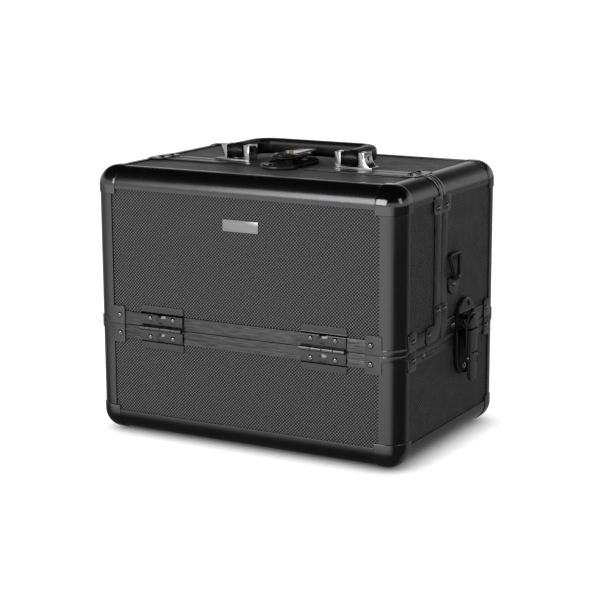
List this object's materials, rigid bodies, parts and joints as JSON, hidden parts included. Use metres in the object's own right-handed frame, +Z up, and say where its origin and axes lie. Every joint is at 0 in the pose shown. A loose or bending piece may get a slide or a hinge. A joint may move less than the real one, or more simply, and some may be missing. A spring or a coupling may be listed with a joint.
{
  "type": "makeup case",
  "caption": "Hard makeup train case with a front door, a rear lid, draw latches, folding handle, strap rings and level-link trays.",
  "frame": {"origin": "under the feet, at the middle of the footprint", "axes": "+X to the right seen from the front door, +Y from the front to the back, +Z up"},
  "size_m": [0.386, 0.2556, 0.3065],
  "materials": {
    "mesh_panel": "embossed diamond mesh, satin",
    "edge_profile": "black anodised, semi-gloss",
    "corner_cap": "glossy black, moulded",
    "rim": "black anodised, brushed along its length",
    "clip": "glossy black on pressed steel",
    "rivet": "glossy black heads",
    "foot": "moulded rubber",
    "lining": "short black velvet on board",
    "hinge": "gunmetal plate",
    "latch": "glossy black on pressed steel",
    "bright_plate": "satin, bare",
    "bright_steel": "bright, lightly brushed",
    "ring_wire": "black plated wire",
    "handle_grip": "moulded black grip",
    "handle_bush": "black bush",
    "lock_brass": "turned brass",
    "tray": "black moulded tray"
  },
  "bodies": {
    "base": {"base_front_panel": "mesh_panel", "base_rear_panel": "mesh_panel", "base_side_panels": "mesh_panel", "base_floor": "mesh_panel", "base_edges": "edge_profile", "base_corner_caps": "corner_cap", "base_rim": "rim", "base_corner_clips": "clip", "base_rivets": "rivet", "base_feet": "foot", "base_lining": "lining", "base_hinge_leaves": "hinge", "hinge_pins": "rivet", "side_latch_plates": "latch", "side_latch_pins": "rivet"},
    "front_door": {"door_front_panel": "mesh_panel", "door_top_panel": "mesh_panel", "door_side_panels": "mesh_panel", "door_edges": "edge_profile", "door_corner_caps": "corner_cap", "door_rim": "rim", "door_clips": "clip", "door_rivets": "rivet", "door_lining": "lining", "door_hinge_leaves": "hinge", "top_latch_keeper": "latch", "nameplate": "bright_plate"},
    "rear_lid": {"lid_rear_panel": "mesh_panel", "lid_top_panel": "mesh_panel", "lid_side_panels": "mesh_panel", "lid_edges": "edge_profile", "lid_corner_caps": "corner_cap", "lid_rim": "rim", "lid_clips": "clip", "lid_rivets": "rivet", "lid_lining": "lining", "lid_hinge_leaves": "hinge", "side_latch_keepers": "latch", "top_latch_plate": "latch", "top_latch_pin": "rivet", "handle_brackets": "bright_steel", "handle_pins": "bright_steel", "strap_ring_plates": "clip"},
    "handle": {"handle_grip": "handle_grip", "handle_bushes": "handle_bush"},
    "left_ring": {"left_strap_ring": "ring_wire"},
    "right_ring": {"right_strap_ring": "ring_wire"},
    "left_lever": {"left_latch_lever": "latch"},
    "left_hook": {"left_latch_hook": "latch"},
    "right_lever": {"right_latch_lever": "latch"},
    "right_hook": {"right_latch_hook": "latch"},
    "top_lever": {"top_latch_lever": "latch", "lock_barrel": "lock_brass"},
    "top_hook": {"top_latch_hook": "latch"},
    "front_tray": {"front_tray": "tray"},
    "front_arms": {"front_tray_arms": "bright_steel"},
    "lower_tray": {"rear_lower_tray": "tray"},
    "upper_tray": {"rear_upper_tray": "tray"},
    "rear_arms": {"rear_tray_arms": "bright_steel"}
  },
  "joints": [
    {"name": "door_hinge", "type": "hinge", "parent": "base", "child": "front_door", "pos_m": [0, -0.1252, 0.121], "axis": [1, 0, 0], "range_deg": [0, 90]},
    {"name": "lid_hinge", "type": "hinge", "parent": "base", "child": "rear_lid", "pos_m": [0, 0.1252, 0.121], "axis": [-1, 0, 0], "range_deg": [0, 85]},
    {"name": "handle_pivot", "type": "hinge", "parent": "rear_lid", "child": "handle", "pos_m": [0, -0.0055, 0.298], "axis": [1, 0, 0], "range_deg": [0, 90]},
    {"name": "left_ring_pivot", "type": "hinge", "parent": "rear_lid", "child": "left_ring", "pos_m": [-0.1841, 0.005, 0.18], "axis": [0, -1, 0], "range_deg": [0, 150]},
    {"name": "right_ring_pivot", "type": "hinge", "parent": "rear_lid", "child": "right_ring", "pos_m": [0.1841, 0.005, 0.18], "axis": [0, 1, 0], "range_deg": [0, 150]},
    {"name": "left_lever_pivot", "type": "hinge", "parent": "base", "child": "left_lever", "pos_m": [-0.187, 0.032, 0.116], "axis": [0, 1, 0], "range_deg": [0, 95]},
    {"name": "left_hook_pivot", "type": "hinge", "parent": "left_lever", "child": "left_hook", "pos_m": [-0.1905, 0.032, 0.091], "axis": [0, 1, 0], "range_deg": [-95, 0]},
    {"name": "right_lever_pivot", "type": "hinge", "parent": "base", "child": "right_lever", "pos_m": [0.187, 0.032, 0.116], "axis": [0, -1, 0], "range_deg": [0, 95]},
    {"name": "right_hook_pivot", "type": "hinge", "parent": "right_lever", "child": "right_hook", "pos_m": [0.1905, 0.032, 0.091], "axis": [0, -1, 0], "range_deg": [-95, 0]},
    {"name": "top_lever_pivot", "type": "hinge", "parent": "rear_lid", "child": "top_lever", "pos_m": [0, -0.021, 0.295], "axis": [1, 0, 0], "range_deg": [0, 95]},
    {"name": "top_hook_pivot", "type": "hinge", "parent": "top_lever", "child": "top_hook", "pos_m": [0, 0.004, 0.2985], "axis": [1, 0, 0], "range_deg": [-95, 0]},
    {"name": "front_tray_pivot", "type": "hinge", "parent": "front_door", "child": "front_tray", "pos_m": [0, -0.0932, 0.183], "axis": [1, 0, 0], "range_deg": [-90, 0]},
    {"name": "front_arm_pivot", "type": "hinge", "parent": "base", "child": "front_arms", "pos_m": [0, -0.0652, 0.11], "axis": [1, 0, 0], "range_deg": [0, 90]},
    {"name": "lower_tray_pivot", "type": "hinge", "parent": "rear_lid", "child": "lower_tray", "pos_m": [0, 0.0932, 0.166], "axis": [-1, 0, 0], "range_deg": [-85, 0]},
    {"name": "upper_tray_pivot", "type": "hinge", "parent": "rear_lid", "child": "upper_tray", "pos_m": [0, 0.0632, 0.211], "axis": [-1, 0, 0], "range_deg": [-85, 0]},
    {"name": "rear_arm_pivot", "type": "hinge", "parent": "base", "child": "rear_arms", "pos_m": [0, 0.0422, 0.11], "axis": [-1, 0, 0], "range_deg": [0, 85]}
  ],
  "couplings": [
    {"joint": "left_hook_pivot", "follows": "left_lever_pivot", "ratio": -1},
    {"joint": "right_hook_pivot", "follows": "right_lever_pivot", "ratio": -1},
    {"joint": "top_hook_pivot", "follows": "top_lever_pivot", "ratio": -1},
    {"joint": "front_tray_pivot", "follows": "door_hinge", "ratio": -1},
    {"joint": "front_arm_pivot", "follows": "door_hinge", "ratio": 1},
    {"joint": "lower_tray_pivot", "follows": "lid_hinge", "ratio": -1},
    {"joint": "upper_tray_pivot", "follows": "lid_hinge", "ratio": -1},
    {"joint": "rear_arm_pivot", "follows": "lid_hinge", "ratio": 1}
  ]
}
